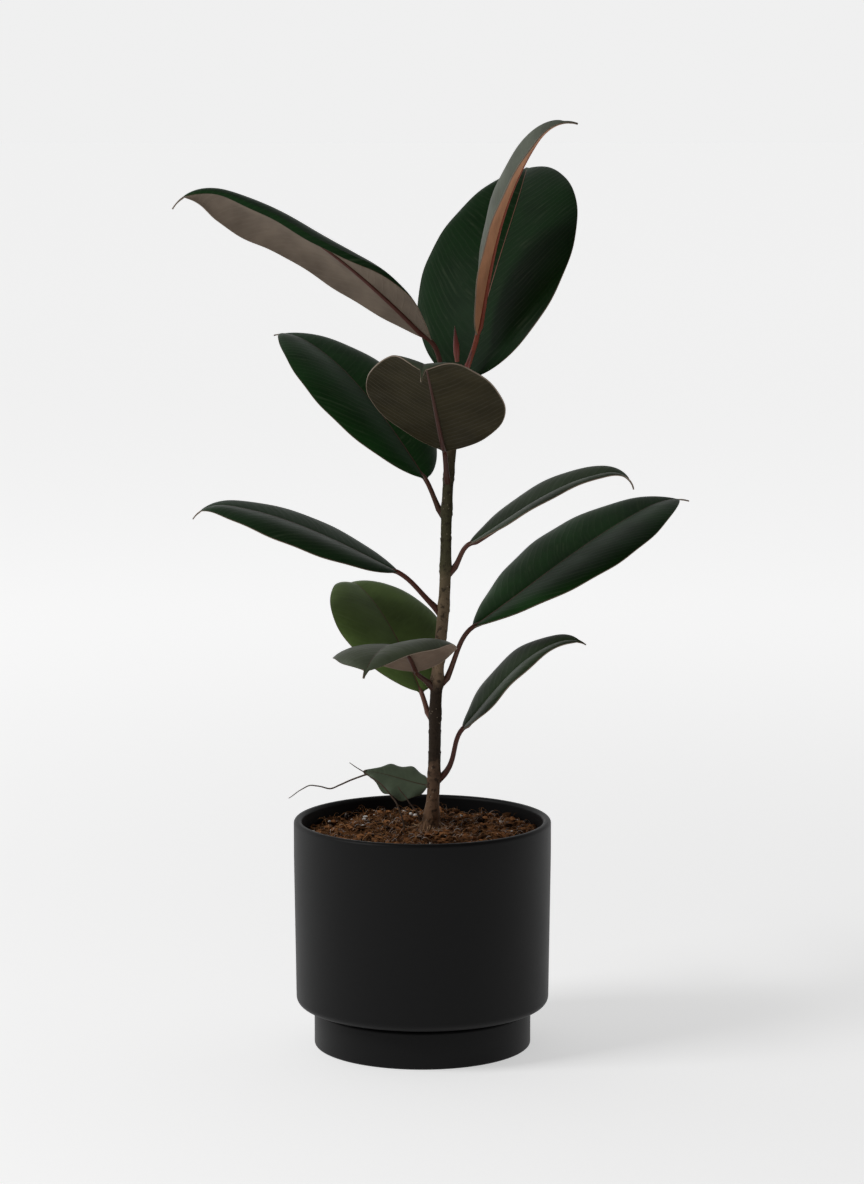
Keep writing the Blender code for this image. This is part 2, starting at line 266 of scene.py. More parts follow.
world = bpy.data.worlds.new("studio")
bpy.context.scene.world = world
world.use_nodes = True
sky = world.node_tree.nodes["Background"].inputs
sky["Color"].default_value = (1, 1, 1, 1)
room = Tree(world.node_tree)
x, y, z = room.split(room.node("TexCoord", output="Generated"))
lit = y.between(*BEHIND) * x.between(*LEFT) * z.between(*OVERHEAD)
ray = room.node("LightPath", output="Is Camera Ray")
seen = room.node("Mix", {"data_type": "FLOAT"}, {0: ray, 2: lit, 3: SKY_SEEN})
room.feed(sky["Strength"], seen)

lamp_data = bpy.data.lights.new("key", "AREA")
lamp_data.shape = "RECTANGLE"
lamp_data.size, lamp_data.size_y, lamp_data.energy = LAMP_SIDE, LAMP_SIDE, LAMP_POWER
lamp = add_object("key", lamp_data)
lamp.location = LAMP_PLACE
look = Vector(LAMP_TARGET) - Vector(LAMP_PLACE)
lamp.rotation_euler = look.to_track_quat("-Z", "Y").to_euler()
print("sky and lamp are in place")

# %% [markdown]
# ## Making pieces
# Every piece ends the same way: its mesh gets its finishes and smooth shading, is tied to the
# plant's one rigid body, and the plain solids it stands for are hidden.


# %% Pieces
def add_piece(name, bm, finishes, nodes=(), sharp=35.0):
    """Turns bm into the piece. Edges sharper than the angle stay sharp."""
    mesh = bpy.data.meshes.new(name)
    bm.to_mesh(mesh)
    bm.free()
    for skin in finishes:
        mesh.materials.append(skin)
    mesh.shade_smooth()
    mesh.set_sharp_from_angle(angle=math.radians(sharp))
    piece = add_object(name, mesh)
    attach(piece, "root")
    if nodes:
        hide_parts(*nodes)
    print(f"{name}: {len(mesh.polygons)} faces")
    return piece


print("pieces can be added")

# %% [markdown]
# ## Turned shapes
# The saucer, the pot and the soil are round about one axis. Spin turns an outline about it, as a
# lathe would, and an outline in code can hold straight runs and arcs.


# %% Turned shapes
def arc(centre, radius, start, end, steps=8):
    """Points (radius, height) of an arc in the turning plane, from start to end in degrees."""
    angles = [math.radians(start + (end - start) * i / steps) for i in range(steps + 1)]
    return [(centre[0] + radius * math.cos(a), centre[1] + radius * math.sin(a)) for a in angles]


def spin_outline(profile, closed, steps):
    """The outline of (radius, height) turned about Z. An open one starts and ends on the axis."""
    bm = bmesh.new()
    verts = [bm.verts.new((radius, 0, height)) for radius, height in profile]
    ends = verts[1:] + verts[:1] if closed else verts[1:]
    edges = [bm.edges.new(pair) for pair in zip(verts, ends)]
    axis = {"cent": (0, 0, 0), "axis": (0, 0, 1), "angle": math.tau}
    bmesh.ops.spin(bm, geom=verts + edges, steps=steps, use_merge=True, **axis)
    bmesh.ops.remove_doubles(bm, verts=bm.verts, dist=1e-6)
    bmesh.ops.recalc_face_normals(bm, faces=bm.faces)
    return bm


print("outlines can be turned")

# %% [markdown]
# ## Tubes
# The stem, petioles, midribs, sheaths, rootlets and fibres are tubes that follow a line. A grid
# wrapped into a tube can have another radius at every ring and angle, which a bevelled curve
# can't.


# %% Tubes
def add_tube(bm, rings, sides):
    """Adds a closed tube to bm: a grid wrapped round, with one row for each ring.

    A ring is (centre, side, up, radius), and radius may be a function of the angle. The UV map
    "run" holds the share of the tube's length, and metres along it.
    """
    last = len(rings) - 1
    distance = [0.0]
    for a, b in zip(rings, rings[1:]):
        distance.append(distance[-1] + (b[0] - a[0]).length)
    layer = bm.loops.layers.uv.get("run") or bm.loops.layers.uv.new("run")
    made = bmesh.ops.create_grid(bm, x_segments=last, y_segments=sides, size=1)["verts"]
    for face in {face for vert in made for face in vert.link_faces}:
        for loop in face.loops:
            row = round((loop.vert.co.x + 1) / 2 * last)
            loop[layer].uv = (row / last, distance[row])
    for vert in made:
        centre, side, up, radius = rings[round((vert.co.x + 1) / 2 * last)]
        angle = math.pi * vert.co.y
        reach = radius(angle) if callable(radius) else radius
        vert.co = centre + (side * math.cos(angle) + up * math.sin(angle)) * reach
    faces = {face for vert in made for face in vert.link_faces}
    bmesh.ops.remove_doubles(bm, verts=made, dist=1e-7)
    faces = [face for face in faces if face.is_valid]
    ends = {edge for face in faces for edge in face.edges if edge.is_boundary}
    caps = bmesh.ops.holes_fill(bm, edges=list(ends), sides=0)["faces"]
    bmesh.ops.recalc_face_normals(bm, faces=faces + caps)
    return faces + caps


def tube_piece(name, rings, sides, skin, nodes=(), sharp=35.0):
    bm = bmesh.new()
    add_tube(bm, rings, sides)
    return add_piece(name, bm, [skin], nodes, sharp)


print("tubes can be added")


# %% Directions and easing
def direction(heading, rise):
    """The unit vector at a heading round Z and a rise above the horizontal, in degrees."""
    h, r = math.radians(heading), math.radians(rise)
    return Vector((math.cos(r) * math.cos(h), math.cos(r) * math.sin(h), math.sin(r)))


def three_stage(values, t):
    """The smooth value at t that takes the three values at the base, middle and tip."""
    base, middle, tip = values
    return base * (1 - t) * (1 - 2 * t) + middle * 4 * t * (1 - t) + tip * t * (2 * t - 1)


def ease(low, high, value):
    """0 below low, 1 above high, and smooth from one to the other."""
    t = min(1.0, max(0.0, (value - low) / (high - low)))
    return t * t * (3 - 2 * t)


print("directions and easing are ready")

# %% [markdown]
# ## Matte black ceramic
# The pot and its saucer share a powdery black glaze. It has almost no colour, so what is seen is
# its sheen: too rough for reflections, faintly uneven, with a fine grain from a very small bump.


# %% Black glaze
def black_glaze():
    skin = Finish("matte_black_ceramic", Specular_IOR_Level=0.14)
    place = skin.object_place()
    cloud = skin.noise(place, 22.0, 3.0)
    grain = skin.noise(place, 1500.0, 2.0)
    tone = skin.mix(cloud, (0.0050, 0.0050, 0.0052), (0.0068, 0.0068, 0.0070))
    rough = cloud * 0.10 + grain * 0.08 + 0.40
    return skin.wear(Base_Color=tone, Roughness=rough, Normal=skin.bump(grain, 0.02 * MM))


glaze = black_glaze()
print("black glaze made")

# %% [markdown]
# ## Saucer
# The saucer is the narrower cylinder under the pot. The solid's outline is repeated with finer
# arcs and more steps, because a matte rim shows every flat as a band.

# %% Saucer
GAP = 0.3 * MM  # between two pieces that touch
SAUCER_RADIUS = 71.8 * MM
SAUCER_HEIGHT = 25 * MM
SAUCER_WALL = 4 * MM
SAUCER_BEVEL = 1.5 * MM
SAUCER_INNER_ROUND = 2 * MM
SAUCER_FLAT = 8 * MM  # from the side to where the flat underside starts
TURN_STEPS = 192


def saucer_outline():
    inner = SAUCER_RADIUS - SAUCER_WALL
    lip, turn = SAUCER_WALL / 2, SAUCER_INNER_ROUND
    profile = [(0, 0), (SAUCER_RADIUS - SAUCER_FLAT, 0)]
    profile += arc((SAUCER_RADIUS - SAUCER_BEVEL, SAUCER_BEVEL), SAUCER_BEVEL, -90, 0, 5)
    profile += arc((SAUCER_RADIUS - lip, SAUCER_HEIGHT - lip), lip, 0, 180, 12)
    profile += arc((inner - turn, SAUCER_WALL + turn), turn, 0, -90, 5)
    return profile + [(0, SAUCER_WALL)]


bm = spin_outline(saucer_outline(), False, TURN_STEPS)
add_piece("fine_saucer", bm, [glaze], ["saucer"])

# %% [markdown]
# ## Pot
# The pot is slip-cast: its inside follows its outside at an even wall, steps in with it to the
# foot, and ends in a floor with a drain hole. One closed outline gives both; a thickened shell
# would lose the rim's and foot's own shapes.

# %% Pot
POT_RADIUS = 85 * MM
POT_HEIGHT = 151.5 * MM
POT_WALL = 5.3 * MM
POT_STRAIGHT = 24 * MM
POT_LOWER_RADIUS = 83.7 * MM
POT_STEP = 27.5 * MM
POT_LOWER_ROUND = 5.4 * MM
RIM_ROUND = 2.4 * MM
FOOT_RADIUS = 64.5 * MM
FOOT_RECESS = 2.2 * MM
FOOT_RING = 9 * MM  # width of the ring that the pot stands on
FOOT_RING_SLOPE = 2 * MM
FOOT_BEVEL = 1.5 * MM
FLOOR_THICKNESS = 5.5 * MM
DRAIN_RADIUS = 8 * MM
DRAIN_BEVEL = 0.6 * MM
SHELF_ROUND = 5 * MM  # inside, above the step
SHELF_DROP = 1.5 * MM
INNER_FLOOR_ROUND = 4 * MM


def pot_outline():
    stand = SAUCER_WALL + GAP
    under, floor_top = stand + FOOT_RECESS, stand + FOOT_RECESS + FLOOR_THICKNESS
    lower, bevel, rim = POT_LOWER_ROUND, FOOT_BEVEL, RIM_ROUND
    profile = [(DRAIN_RADIUS + DRAIN_BEVEL, floor_top), (DRAIN_RADIUS, floor_top - DRAIN_BEVEL)]
    profile += [(DRAIN_RADIUS, under), (FOOT_RADIUS - FOOT_RING - FOOT_RING_SLOPE, under)]
    profile.append((FOOT_RADIUS - FOOT_RING, stand))
    profile += arc((FOOT_RADIUS - bevel, stand + bevel), bevel, -90, 0, 4)
    profile.append((FOOT_RADIUS, POT_STEP))
    profile += arc((POT_LOWER_RADIUS - lower, POT_STEP + lower), lower, -90, 0, 12)
    profile.append((POT_RADIUS, POT_HEIGHT - POT_STRAIGHT))
    profile += arc((POT_RADIUS - rim, POT_HEIGHT - rim), rim, 0, 90, 8)
    profile += arc((POT_RADIUS - POT_WALL + rim, POT_HEIGHT - rim), rim, 90, 180, 8)
    shelf, turn, low_turn = POT_STEP + POT_WALL, SHELF_ROUND, INNER_FLOOR_ROUND
    low_inner, foot_inner = POT_LOWER_RADIUS - POT_WALL, FOOT_RADIUS - POT_WALL
    profile.append((POT_RADIUS - POT_WALL, POT_HEIGHT - POT_STRAIGHT))
    profile += arc((low_inner - turn, shelf + turn), turn, 0, -90, 6)
    profile.append((foot_inner, shelf - SHELF_DROP))
    return profile + arc((foot_inner - low_turn, floor_top + low_turn), low_turn, 0, -90, 5)


bm = spin_outline(pot_outline(), True, TURN_STEPS)
add_piece("fine_pot", bm, [glaze], ["pot"])

# %% [markdown]
# ## The stem's measures
# The stem leans a little, swells where leaves grow and flares at the soil. Its line and radius
# are the solid's own, so that every petiole lands where the solid's does.

# %% Stem measures
SOIL_EDGE = 138 * MM
SOIL_MIDDLE = 140.5 * MM
STEM_FOOT = 112 * MM
STEM_TOP = 452 * MM
STEM_BASE_X = 4.5 * MM
STEM_LEAN = 0.056
STEM_WAVE = 0.9 * MM
STEM_WAVE_LENGTH = 130 * MM
STEM_RADIUS = 4.2 * MM
STEM_TOP_RADIUS = 3.1 * MM
COLLAR_RADIUS = 8.5 * MM
COLLAR_HEIGHT = 26 * MM
NODE_SWELL = 0.5 * MM
NODE_SPREAD = 4 * MM
LEAF_NODES = (438, 446, 428, 357, 380, 293, 319, 245, 222, 243, 181, 157)  # heights in mm


def stem_centre(z):
    up = z - SOIL_EDGE
    sway = STEM_WAVE * math.sin(math.tau * up / STEM_WAVE_LENGTH)
    return Vector((STEM_BASE_X + STEM_LEAN * up + sway, 0, z))


def stem_radius(z):
    t = max(0, (z - SOIL_EDGE) / (STEM_TOP - SOIL_EDGE))
    radius = STEM_RADIUS + (STEM_TOP_RADIUS - STEM_RADIUS) * t**1.3
    flare = max(0, 1 - max(0, z - SOIL_EDGE) / COLLAR_HEIGHT)
    radius += (COLLAR_RADIUS - STEM_RADIUS) * flare**1.5
    for node in LEAF_NODES:
        radius += NODE_SWELL * math.exp(-(((z - node * MM) / NODE_SPREAD) ** 2))
    return radius


print("stem", round((STEM_TOP - STEM_FOOT) / MM), "mm long")

# %% [markdown]
# ## The leaves' measures
# A rubber plant's leaf is a thick oval that folds up from its midrib and ends in a drip tip. It
# follows its heading and rise at three places. Twelve leaves drawn one by one would hide what
# they share, so one table holds what differs. The numbers are the solids' own.

# %% Leaf measures
PETIOLE_RADIUS = 1.6 * MM
DRIP_TIP_SHARE = 0.05
DRIP_TIP_WIDTH = 4.4 * MM
DRIP_TIP_REACH = 0.12
DRIP_TIP_END = 0.35 * MM
OVAL_FULLNESS = 0.68
DROOP_START = 0.8

Leaf = namedtuple("Leaf", "node petiole blade heading rise roll fold curl droop")
# petiole: length in mm, heading, rise. blade: length and width in mm, and a shift of the widest
# place, towards the base if under 1. heading, rise: at the blade's base, middle and tip. roll:
# at base and tip. fold: how far the halves rise. curl, droop: how they and the tip turn down.
LEAF_ROWS = (
    ((32, 195, 68), (204, 88, 1.12), (193, 192, 190), (45, 34, 8), (-8, -10), 5, 20, 70),
    ((26, 10, 72), (162, 54, 0.95), (6, 0, -6), (80, 72, 42), (12, -20), 22, 5, 60),
    ((18, 68, 45), (197, 122, 0.74), (54, 66, 88), (66, 50, 16), (12, 12), 10, 8, 20),
    ((22, 150, 62), (184, 88, 0.95), (129, 131, 133), (42, 33, 6), (0, 0), 12, 14, 20),
    ((18, -105, 70), (158, 90, 0.95), (-96, -96, -97), (27, 30, 26), (7, 7), 10, 4, 100),
    ((33, 176, 43), (147, 88, 0.95), (174, 174, 173), (27, 20, -2), (4, 4), 8, 14, 55),
    ((18, 0, 58), (124, 66, 0.95), (2, 0, 0), (30, 28, -6), (-4, -4), 16, 10, 75),
    ((38, 15, 62), (188, 100, 1.15), (30, 30, 30), (28, 28, 14), (-3, -3), 10, 10, 30),
    ((14, 140, 66), (130, 78, 0.95), (118, 119, 120), (45, 33, 6), (0, 0), 12, 12, 50),
    ((12, -150, 41), (126, 82, 0.95), (-106, -106, -107), (45, 7, -21), (-7, -9), 8, 14, 24),
    ((33, 2, 68), (105, 60, 0.95), (2, 0, -2), (48, 43, -2), (-9, -5), 14, 10, 30),
    ((15, 105, 77), (44, 33, 0.78), (168, 170, 172), (8, 14, 2), (38, 30), 6, 20, 30),
)
ALL_ROWS = enumerate(zip(LEAF_NODES, LEAF_ROWS), 1)
LEAVES = {f"leaf_{i:02}": Leaf(node, *row) for i, (node, row) in ALL_ROWS}


def blade_run(leaf, t):
    """The blade's heading and rise at t along it."""
    hook = max(0, (t - DROOP_START) / (1 - DROOP_START))
    return three_stage(leaf.heading, t), three_stage(leaf.rise, t) - leaf.droop * hook**1.5


def half_width(leaf, t):
    """Half the blade's width at t: an ellipse with a blunt base, then the drip tip."""
    body = 1 - DRIP_TIP_SHARE
    oval = math.sin(math.pi * min(1, t / body) ** leaf.blade[2]) ** OVAL_FULLNESS if t < body else 0
    tip = DRIP_TIP_WIDTH * min(1, (1 - t) / DRIP_TIP_REACH) ** 1.4 + DRIP_TIP_END
    return max(oval * leaf.blade[1] * MM / 2, tip if t > 0.5 else DRIP_TIP_WIDTH / 2)


print(len(LEAVES), "leaves measured")

# %% [markdown]
# ## Veins
# Side veins leave the midrib nearly square, a few millimetres apart, and bend forward. Modelled
# they would need too many faces, so they are a pattern in the finish, on the UV map "blade":
# metres across from the midrib and along from the base. "share" holds shares of the half width
# and the length.


# %% Vein pattern
VEIN_SPACING = 6.0 * MM
FINE_VEINS = 5  # for each side vein
VEIN_SLOPE = 0.42
VEIN_BEND = 12.0
VEIN_WANDER = 6 * MM
RIM_WIDTH = 0.6 * MM


def vein_pattern(skin):
    """(veins, fine veins, streaks, rim, flat place): 1 at a crest and at the margin."""
    across, along, _ = skin.split(skin.map_place("blade"))
    share, _, _ = skin.split(skin.map_place("share"))
    sway = skin.noise(skin.join(across * 40.0, along * 40.0), 1.0, 2.0)
    wander = (sway - 0.5) * VEIN_WANDER
    out = abs(across)
    lines = along - out * VEIN_SLOPE - out * out * VEIN_BEND + wander

    def comb(spacing, sharpness):
        saw = (lines / spacing).maths("FRACT")
        return (1.0 - abs(saw * 2.0 - 1.0)).maths("POWER", sharpness)

    veins, fine = comb(VEIN_SPACING, 5.0), comb(VEIN_SPACING / FINE_VEINS, 2.0)
    streaks = skin.noise(skin.join(out * 30.0, lines * 260.0), 1.0, 3.0).between(0.48, 0.72)
    rim = 1.0 - (out / abs(share) - out).between(RIM_WIDTH / 2, RIM_WIDTH)
    return veins, fine, streaks, rim, skin.join(across, along)


print("veins every", VEIN_SPACING / MM, "mm")

# %% [markdown]
# ## Leaf skins
# Above, a leaf is a dark waxy green with faint veins, dull streaks and dust, and pale streaks
# along the veins are painted sheen. Beneath, it is a matte brown in which the veins stand out.
# The margin is thin and pale, and petiole and midrib are one red-brown rib. Each leaf's own
# colours are stored on its points, so that all twelve share these finishes.


# %% Leaf finishes
def skin_above():
    skin = Finish("leaf_above", Specular_IOR_Level=0.065)
    veins, fine, streaks, rim, flat = vein_pattern(skin)
    own = skin.stored("above")
    cloud = skin.noise(flat, 45.0, 3.0)
    dark = skin.mix(0.7, (0.0, 0.0, 0.0), own)
    base = skin.mix(cloud.between(0.3, 0.72), own, dark)
    # the pale colour of the veins and of the painted sheen
    light = skin.mix(0.22, own, (0.16, 0.18, 0.12))
    # painted sheen: pale grey-green streaks along the veins, broken up by the cloud
    sheen_streaks = streaks * cloud.between(0.42, 0.62)
    base = skin.mix(veins * 0.16 + sheen_streaks * 0.6, base, light)
    fleck = skin.noise(flat, 900.0, 3.0, 0.7).between(0.70, 0.80)
    base = skin.mix(fleck * 0.28, base, (0.30, 0.31, 0.27))
    base = skin.mix(rim * 0.5, base, (0.10, 0.06, 0.04))
    rough = 0.38 + cloud * 0.12 + streaks * 0.08 + fleck * 0.2
    lift = veins * 0.8 + fine * 0.12 + cloud * 0.5
    return skin.wear(Base_Color=base, Roughness=rough, Normal=skin.bump(lift, 0.12 * MM, 0.6))


def skin_beneath():
    skin = Finish("leaf_beneath", Specular_IOR_Level=0.07)
    veins, fine, streaks, rim, flat = vein_pattern(skin)
    own = skin.stored("beneath")
    cloud = skin.noise(flat, 38.0, 3.0)
    dark = skin.mix(0.62, (0.0, 0.0, 0.0), own)
    base = skin.mix(cloud.between(0.3, 0.75), own, dark)
    light = skin.mix(0.16, own, (0.45, 0.40, 0.30))
    base = skin.mix(veins * (streaks * 0.35 + 0.15), base, light)
    base = skin.mix(fine * 0.12, base, dark)
    base = skin.mix(rim * 0.6, base, (0.26, 0.20, 0.15))
    lift = veins * 1.0 + fine * 0.2
    rough = 0.55 + cloud * 0.15
    return skin.wear(Base_Color=base, Roughness=rough, Normal=skin.bump(lift, 0.3 * MM, 0.5))


def skin_margin():
    skin = Finish("leaf_margin", Roughness=0.5)
    patch = skin.noise(skin.object_place(), 120.0, 3.0)
    return skin.wear(Base_Color=skin.mix(patch, (0.12, 0.07, 0.045), (0.24, 0.19, 0.13)))


RIB_STOPS = [(0.0, (0.05, 0.035, 0.02)), (0.12, (0.085, 0.03, 0.018))]
RIB_STOPS += [(0.45, (0.075, 0.026, 0.02)), (1.0, (0.07, 0.045, 0.025))]


def skin_rib():
    """Green-brown at the stem, red along the midrib and paler towards the tip."""
    skin = Finish("petiole_and_midrib", Roughness=0.45, Specular_IOR_Level=0.25)
    share, _, _ = skin.split(skin.map_place("run"))
    base = skin.ramp(RIB_STOPS, share)
    base = skin.mix(0.75, base, skin.stored("rib"))
    speck = skin.noise(skin.object_place(), 700.0, 2.0)
    base = skin.mix(speck.between(0.55, 0.75) * 0.5, base, (0.03, 0.016, 0.01))
    return skin.wear(Base_Color=base, Normal=skin.bump(speck, 0.08 * MM))


leaf_finishes = [skin_above(), skin_beneath(), skin_margin()]
rib_finish = skin_rib()
print("leaf skins made")

# %% [markdown]
# ## Looks of the leaves
# No two leaves look alike: old ones are dusty, one shines olive, and the youngest has a copper
# back. A look holds the colours, the ripples' height and length in millimetres, the rise at which
# the petiole leaves the stem, and how each half is bent: a fold added at its base and tip, and a
# margin that rolls over, in degrees. The left half is on the left of the run, seen from above.

# %% Looks of the leaves
Half = namedtuple("Half", "base_fold tip_fold roll_start roll", defaults=(0, 0, 0.9, 10))
Look = namedtuple("Look", "above beneath rib ripple leave left right", defaults=(Half(), Half()))
CALM, WAVY, CRINKLED = (0.3, 36), (0.6, 36), (1.6, 14)
DEEP_GREEN, OLIVE = (0.0046, 0.0240, 0.0042), (0.110, 0.170, 0.048)
DUSTY, SILVER = (0.070, 0.085, 0.052), (0.125, 0.138, 0.108)
# The dark back is an olive-brown underside darkened further by painted shade.
BROWN_BACK, SHADE_DARKENED_BACK = (0.125, 0.090, 0.064), (0.032, 0.026, 0.0120)
# The grey and pale backs are taupe undersides made paler by painted light and sheen from the white floor.
FLOOR_LIT_GREY_BACK, FLOOR_LIT_PALE_BACK = (0.205, 0.162, 0.125), (0.180, 0.130, 0.096)
COPPER_BACK, OLD_BACK = (0.50, 0.24, 0.13), (0.12, 0.11, 0.08)
RED_RIB, BRIGHT_RIB = (0.085, 0.022, 0.014), (0.30, 0.06, 0.03)
FACING, ROLLED, TURNED_DOWN = Half(0, 3), Half(30, 0, 0.84, 110), Half(-3, -18)
LOOKS = {
    "leaf_01": Look(DEEP_GREEN, FLOOR_LIT_GREY_BACK, RED_RIB, CALM, 60, ROLLED, TURNED_DOWN),
    "leaf_02": Look(SILVER, COPPER_BACK, BRIGHT_RIB, CALM, 72),
    "leaf_03": Look(DEEP_GREEN, BROWN_BACK, (0.20, 0.075, 0.05), CALM, 45),
    "leaf_04": Look((0.0085, 0.035, 0.0075), BROWN_BACK, (0.05, 0.018, 0.010), CALM, 62),
    "leaf_05": Look(DUSTY, SHADE_DARKENED_BACK, (0.045, 0.011, 0.007), CALM, 70, FACING, FACING),
    "leaf_06": Look((0.012, 0.034, 0.011), BROWN_BACK, RED_RIB, CALM, 43),
    "leaf_07": Look((0.030, 0.050, 0.022), BROWN_BACK, (0.09, 0.03, 0.018), CALM, 58),
    "leaf_08": Look((0.0095, 0.041, 0.0072), BROWN_BACK, (0.11, 0.045, 0.03), CALM, 64),
    "leaf_09": Look(OLIVE, BROWN_BACK, (0.14, 0.06, 0.04), CALM, 66),
    "leaf_10": Look(DUSTY, FLOOR_LIT_PALE_BACK, (0.05, 0.018, 0.012), WAVY, 41),
    "leaf_11": Look((0.025, 0.044, 0.018), BROWN_BACK, RED_RIB, WAVY, 48),
    "leaf_12": Look((0.105, 0.135, 0.088), OLD_BACK, (0.06, 0.06, 0.035), CRINKLED, 77),
}
print(len(LOOKS), "looks")

# %% [markdown]
# ## Leaf curves
# A blade is a row of cross sections, closer together near both ends, where the outline turns
# fastest. Each half bends away from the midrib, so it is walked outwards in small steps. The last
# is short, which keeps the shading's soft turn onto the edge narrow.

# %% Leaf curve
BLADE_ROWS = 96
HALF_COLUMNS = 14
BLADE_THIN = 0.8 * MM
MARGIN_STEP = 0.5 * MM
GROOVE = 0.35 * MM  # depth of the midrib's groove
GROOVE_WIDTH = 1.3 * MM


def row_share(i):
    """How far along the blade row i lies. Rows are closer together near both ends."""
    s = i / BLADE_ROWS
    return s - 0.085 * math.sin(math.tau * s)


def petiole_points(leaf, leave=0):
    """The petiole's four bending points. leave is the rise at which it leaves the stem."""
    length, heading, rise = leaf.petiole
    offset = stem_radius(leaf.node * MM) + PETIOLE_RADIUS + GAP
    start = stem_centre(leaf.node * MM) + direction(heading, 0) * offset
    base = start + direction(heading, rise) * length * MM
    away = direction(heading, leave) * (length * MM * 0.4)
    forward = direction(leaf.heading[0], leaf.rise[0]) * (length * MM / 3)
    return start, start + away, base - forward, base


def blade_spine(leaf):
    """For each row: (share along, centre, side, up)."""
    centre = petiole_points(leaf)[-1]
    rows = []
    for i in range(BLADE_ROWS + 1):
        t = row_share(i)
        heading, rise = blade_run(leaf, t)
        roll = math.radians(leaf.roll[0] * (1 - t) + leaf.roll[1] * t)
        level = direction(heading - 90, 0)
        above = level.cross(direction(heading, rise))
        side = level * math.cos(roll) + above * math.sin(roll)
        up = above * math.cos(roll) - level * math.sin(roll)
        rows.append((t, centre.copy(), side, up))
        after = row_share(i + 1)
        centre += direction(*blade_run(leaf, (t + after) / 2)) * (leaf.blade[0] * MM * (after - t))
    return rows


def half_section(leaf, look, t, side):
    """(across, above, share) of each column from the midrib out to the margin on one side."""
    half = half_width(leaf, t)
    inner = 1 - min(MARGIN_STEP / half, 1 / 3)
    shares = [inner * (j / (HALF_COLUMNS - 1)) ** 1.25 for j in range(HALF_COLUMNS)]
    shares.append(1.0)
    own = look.left if side < 0 else look.right
    fold = leaf.fold + own.base_fold * ease(0.55, 0.1, t) + own.tip_fold * ease(0.45, 0.85, t)
    roll = own.roll * ease(0.1, 0.45, t) * ease(1.0, 0.85, t)
    across, above, found = 0.0, 0.0, []
    along = t * leaf.blade[0] * MM
    for j, share in enumerate(shares):
        if j:
            middle = (share + shares[j - 1]) / 2
            lean = fold - 3 * leaf.curl * middle**2 - roll * ease(own.roll_start, 1, middle)
            step = half * (share - shares[j - 1])
            across += step * math.cos(math.radians(lean))
            above += step * math.sin(math.radians(lean))
        wave = math.sin(math.tau * along / (look.ripple[1] * MM) + side * 1.3 + leaf.node)
        ripple = look.ripple[0] * MM * share**3 * wave * ease(0, 0.15, t)
        groove = GROOVE * (1 - 0.7 * t) * math.exp(-((across / GROOVE_WIDTH) ** 2))
        found.append((side * across, above + ripple - groove + BLADE_THIN / 2, side * share))
    return found


print("leaf curves ready")

# %% [markdown]
# ## Blades and ribs
# A grid is moved onto the leaf's curve, and Solidify gives it a thickness, with the underside and
# the rim in their own finishes. The petiole grows on into the midrib, so one tube makes both: it
# lies in the groove above and stands out beneath.


# %% Blades
def paint(piece, name, colour):
    """Gives every point of the piece one colour under this name."""
    layer = piece.data.attributes.new(name, "FLOAT_COLOR", "POINT")
    layer.data.foreach_set("color", [*colour, 1.0] * len(piece.data.vertices))


def make_blade(name, leaf, look):
    bm = bmesh.new()
    columns = 2 * HALF_COLUMNS
    blade = bm.loops.layers.uv.new("blade")
    share = bm.loops.layers.uv.new("share")
    bmesh.ops.create_grid(bm, x_segments=BLADE_ROWS, y_segments=columns, size=1)
    rows = blade_spine(leaf)
    sections = []
    for t, *_ in rows:
        left, right = (half_section(leaf, look, t, side) for side in (-1, 1))
        sections.append(left[:0:-1] + right)
    where = {}
    for vert in bm.verts:
        row = round((vert.co.x + 1) / 2 * BLADE_ROWS)
        column = round((1 - vert.co.y) / 2 * columns)
        where[vert] = row, column
        _, centre, side, up = rows[row]
        across, above, _ = sections[row][column]
        vert.co = centre + side * across + up * above
    for face in bm.faces:
        for loop in face.loops:
            row, column = where[loop.vert]
            t = rows[row][0]
            _, _, out = sections[row][column]
            loop[blade].uv = (out * half_width(leaf, t), t * leaf.blade[0] * MM)
            loop[share].uv = (out, t)
    piece = add_piece(f"{name}_blade", bm, leaf_finishes, [name])
    paint(piece, "above", look.above)
    paint(piece, "beneath", look.beneath)
    thick = piece.modifiers.new("thickness", "SOLIDIFY")
    thick.thickness = BLADE_THIN
    thick.offset = -1
    thick.material_offset = 1
    thick.material_offset_rim = 2
    return piece


print("blades can be made")


# %% Ribs
RIB_SIDES = 14
PETIOLE_RINGS = 12
RIB_END = 0.93  # of the blade's length
RIB_TIP_RADIUS = 0.35 * MM
RIB_STANDS_OUT = 0.22 * MM  # above the groove
ROOT_DROP, ROOT_DEPTH = 5 * MM, 2 * MM  # where the petiole starts, inside the stem
PETIOLE_FOOT = 0.6 * MM


